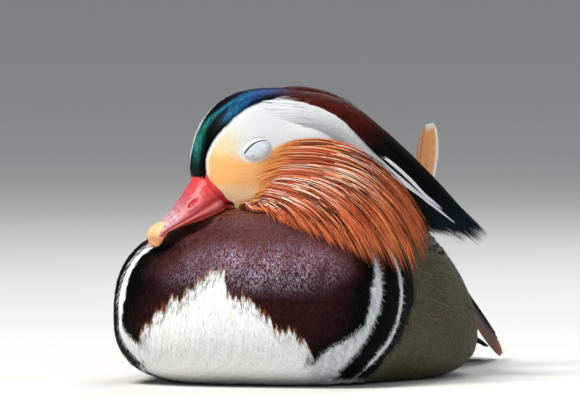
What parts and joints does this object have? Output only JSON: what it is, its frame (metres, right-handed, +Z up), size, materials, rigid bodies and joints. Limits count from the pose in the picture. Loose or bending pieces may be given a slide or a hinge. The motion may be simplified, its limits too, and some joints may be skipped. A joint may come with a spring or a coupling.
{
  "type": "sleeping mandarin duck drake",
  "caption": "Drake mandarin duck asleep on its belly, head turned aside with the bill laid on its breast, with crest, cheek ruff, sail feathers and folded wings.",
  "frame": {"origin": "on the floor, in the middle of the flat of the belly, under the widest part of the duck's body", "axes": "+Z up, -Y the way the breast faces, +X the duck's left"},
  "size_m": [0.1251, 0.262, 0.1092],
  "materials": {
    "body_feathers": "soft satin plumage",
    "neck_feathers": "soft satin plumage",
    "face_feathers": "soft matt plumage",
    "bill": "smooth waxy horn",
    "bill_nail": "smooth waxy horn",
    "tail_feathers": "smooth vanes",
    "crest_feathers": "glossy plumage",
    "eyelids": "matt skin",
    "wing_feathers": "smooth vanes",
    "sail_feathers": "smooth vanes",
    "leg_skin": "scaly skin",
    "ruff_hackles": "long glossy hackles"
  },
  "bodies": {
    "root": {"torso": "body_feathers", "neck": "neck_feathers", "head": "face_feathers", "bill_upper": "bill", "bill_nail": "bill_nail", "bill_lower": "bill", "tail": "tail_feathers", "eye_left": "eyelids", "eye_right": "eyelids", "wing_left": "wing_feathers", "wing_right": "wing_feathers", "sail_left": "sail_feathers", "sail_right": "sail_feathers", "leg_left": "leg_skin", "leg_right": "leg_skin", "crest": "crest_feathers", "ruff_left": "ruff_hackles", "ruff_right": "ruff_hackles"}
  },
  "joints": []
}
